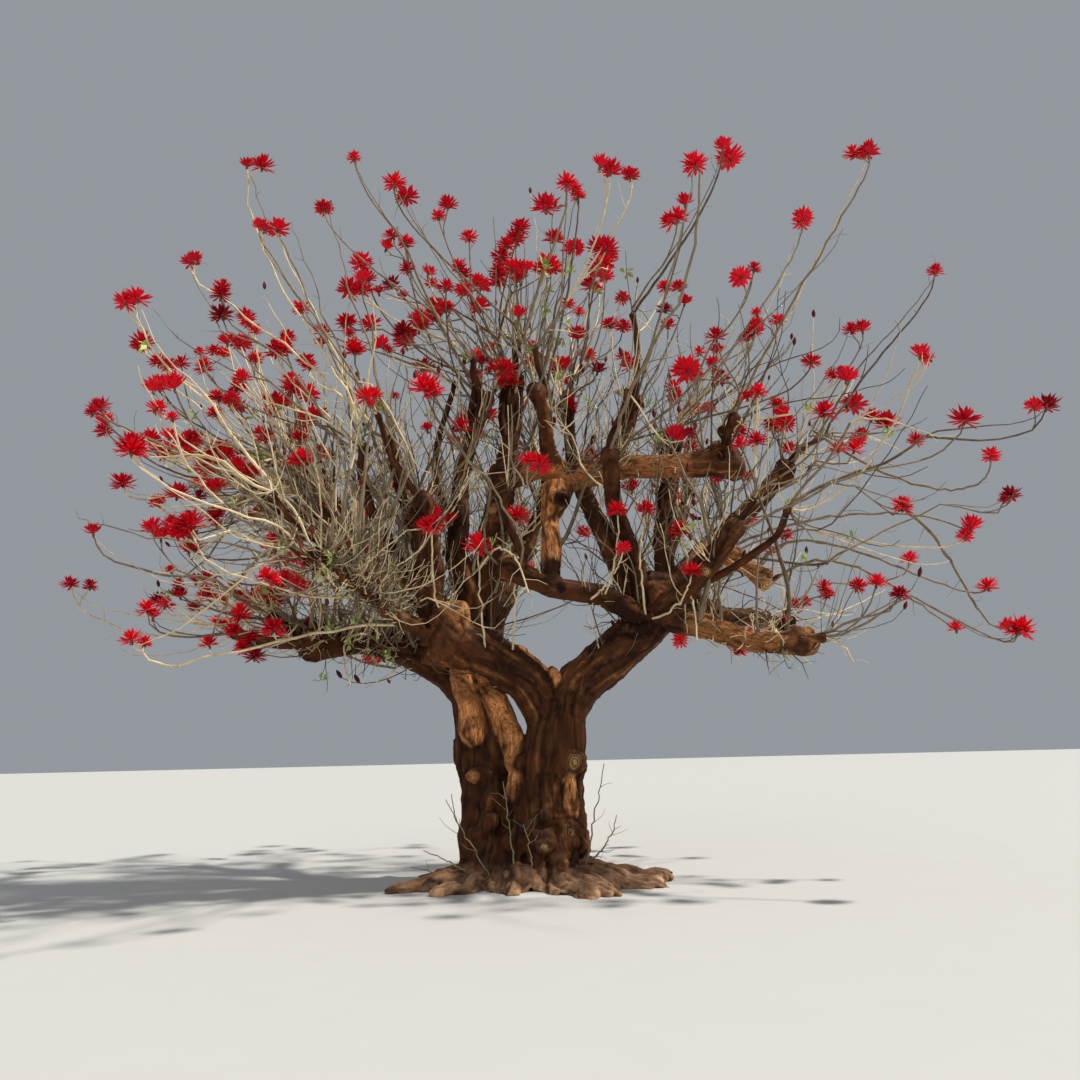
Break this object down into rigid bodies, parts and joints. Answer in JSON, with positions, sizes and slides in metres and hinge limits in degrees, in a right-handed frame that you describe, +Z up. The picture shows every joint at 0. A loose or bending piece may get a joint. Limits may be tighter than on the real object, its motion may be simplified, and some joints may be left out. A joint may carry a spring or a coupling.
{
  "type": "coral tree",
  "caption": "Rooted flowering tree: stout trunk of fused leaders with a flared foot, crooked boughs, and a broad open crown of bare shoots tipped with red flower heads.",
  "frame": {"origin": "on the ground under the middle of the trunk's foot, on the flat cut there", "axes": "+Z up; -Y is the front, the side that the picture shows; +X is to the right seen from the front"},
  "size_m": [9.84, 8.0844, 7.62],
  "materials": {
    "bark": "matt, furrowed",
    "blossom": "soft satin",
    "shoots": "matt",
    "leaves": "soft satin"
  },
  "bodies": {
    "root": {"trunk": "bark", "back_bough": "bark", "back_left_bough": "bark", "back_left_riser": "bark", "back_right_bough": "bark", "back_right_riser": "bark", "back_riser": "bark", "centre_leader": "bark", "crossing_limb": "bark", "elbow_riser": "bark", "elbow_stem": "bark", "front_left_bough": "bark", "front_riser": "bark", "inner_front_limb": "bark", "inner_limb": "bark", "left_front_limb": "bark", "left_inner_upright": "bark", "left_low_bough": "bark", "left_mid_limb": "bark", "left_upright": "bark", "log_limb": "bark", "log_riser": "bark", "low_right_back_bough": "bark", "low_right_bough": "bark", "right_bough": "bark", "right_front_limb": "bark", "right_upright": "bark", "rising_limb": "bark", "sawn_limb": "bark", "crown_back": "blossom", "crown_back_high": "blossom", "crown_back_left": "blossom", "crown_back_left_low": "blossom", "crown_back_right": "blossom", "crown_back_right_low": "blossom", "crown_front": "blossom", "crown_front_high": "blossom", "crown_front_left": "blossom", "crown_front_right": "blossom", "crown_left": "blossom", "crown_left_front": "blossom", "crown_left_high": "blossom", "crown_left_low": "blossom", "crown_right": "blossom", "crown_right_back_high": "blossom", "crown_right_back_low": "blossom", "crown_right_front": "blossom", "crown_right_front_low": "blossom", "crown_right_high": "blossom", "crown_right_mid": "blossom", "crown_top_back": "blossom", "crown_top_centre": "blossom", "crown_top_left": "blossom", "crown_top_right": "blossom"}
  },
  "joints": []
}
